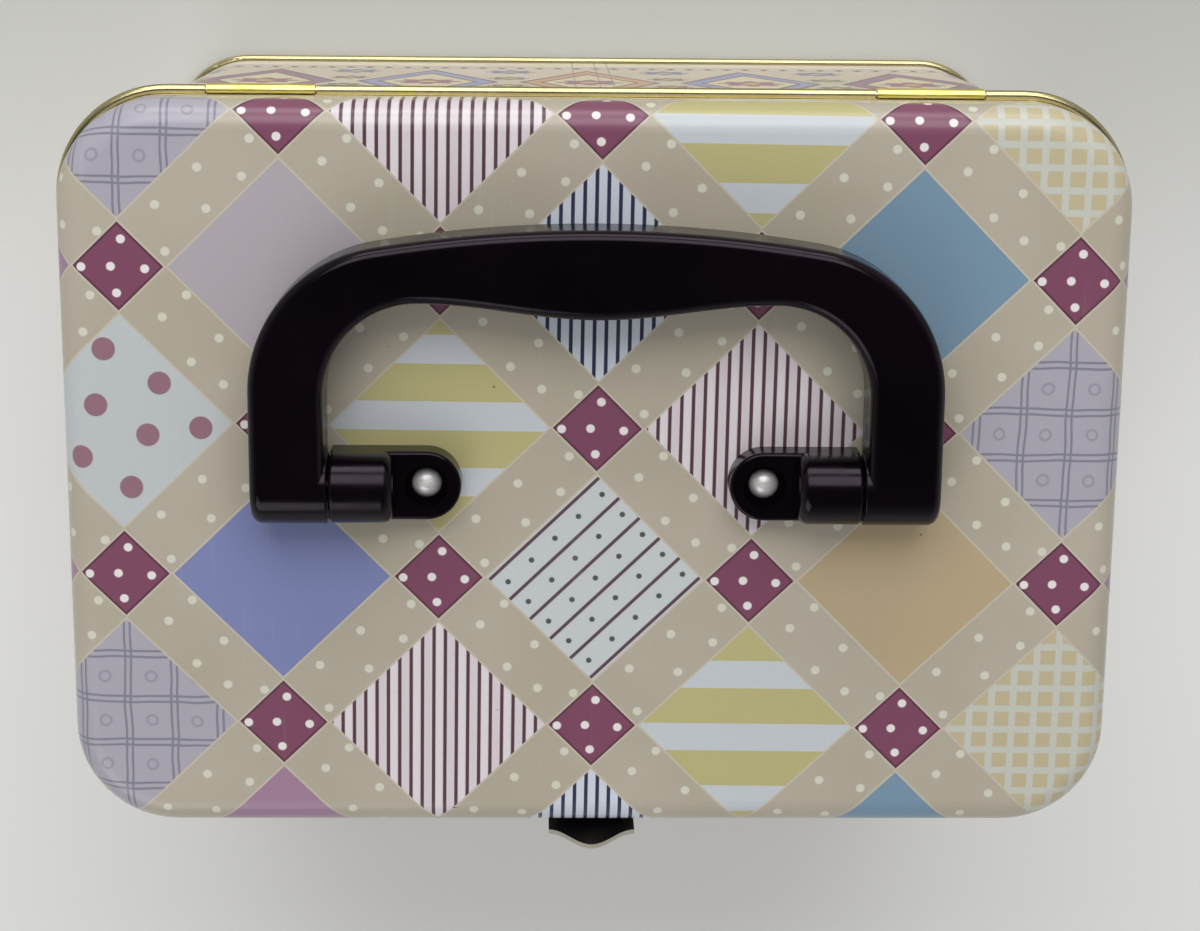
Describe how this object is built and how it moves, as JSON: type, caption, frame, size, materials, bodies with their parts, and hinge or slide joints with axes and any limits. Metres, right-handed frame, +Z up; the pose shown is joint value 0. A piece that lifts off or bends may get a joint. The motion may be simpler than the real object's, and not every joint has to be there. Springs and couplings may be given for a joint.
{
  "type": "sewing tin",
  "caption": "Rectangular hinged sewing tin with rounded corners, slip-over lid with rolled edge, fold-down moulded handle on riveted brackets and a front clasp.",
  "frame": {"origin": "middle of the whole footprint, clasp lip to hinge knuckles, on the surface that the tin stands on", "axes": "+X along the tin to the right as seen from the clasp side, +Y to the hinge, +Z up through the lid"},
  "size_m": [0.1934, 0.1406, 0.155],
  "materials": {
    "wall_tin": "gloss",
    "lid_tin": "gloss",
    "base_tin": "gold lacquer",
    "knuckle_brass": "bright",
    "clasp_steel": "bright",
    "rivet_steel": "bright",
    "wire_steel": "drawn",
    "handle_plastic": "gloss"
  },
  "bodies": {
    "body": {"body_shell": "wall_tin", "base_panel": "base_tin", "hinge_knuckle_left": "knuckle_brass", "hinge_knuckle_right": "knuckle_brass", "clasp_mount": "clasp_steel", "clasp_pin": "rivet_steel", "clasp_rivets": "rivet_steel"},
    "lid": {"lid_shell": "lid_tin", "hinge_wire": "wire_steel", "handle_bracket_left": "handle_plastic", "handle_bracket_right": "handle_plastic", "bracket_rivet_left": "rivet_steel", "bracket_rivet_right": "rivet_steel", "rivet_washer_left": "rivet_steel", "rivet_washer_right": "rivet_steel"},
    "handle": {"handle": "handle_plastic"},
    "clasp": {"clasp_plate": "clasp_steel"}
  },
  "joints": [
    {"name": "lid_hinge", "type": "hinge", "parent": "body", "child": "lid", "pos_m": [0, 0.0691, 0.1285], "axis": [-1, 0, 0], "range_deg": [0, 110]},
    {"name": "handle_swing", "type": "hinge", "parent": "lid", "child": "handle", "pos_m": [0, 0.00137, 0.1487], "axis": [1, 0, 0], "range_deg": [0, 180]},
    {"name": "clasp_swing", "type": "hinge", "parent": "body", "child": "clasp", "pos_m": [0, -0.06365, 0.114], "axis": [1, 0, 0], "range_deg": [0, 120]}
  ]
}
